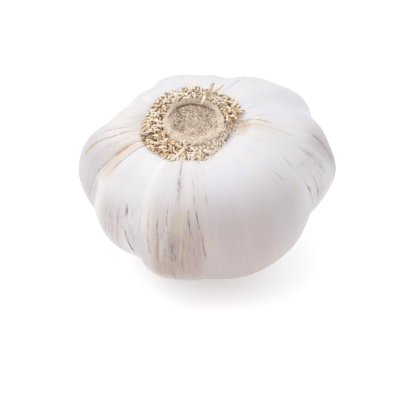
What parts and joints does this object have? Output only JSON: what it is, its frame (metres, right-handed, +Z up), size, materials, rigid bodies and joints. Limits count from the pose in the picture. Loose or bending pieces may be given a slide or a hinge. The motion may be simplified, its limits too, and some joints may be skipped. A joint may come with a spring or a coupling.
{
  "type": "garlic bulb",
  "caption": "Whole garlic bulb in white papery skin, standing on its cut neck with the basal plate and clipped dry roots uppermost.",
  "frame": {"origin": "middle of the footprint, on the surface that the cut neck stands on", "axes": "+Z up, with the root crown uppermost and leaning towards -Y; +X towards the widest cloves"},
  "size_m": [0.0602, 0.0556, 0.0417],
  "materials": {
    "papery_skin": "satin",
    "dry_plate": "matte",
    "dry_root": "matte"
  },
  "bodies": {
    "root": {"bulb": "papery_skin", "basal_plate": "dry_plate", "roots": "dry_root"}
  },
  "joints": []
}
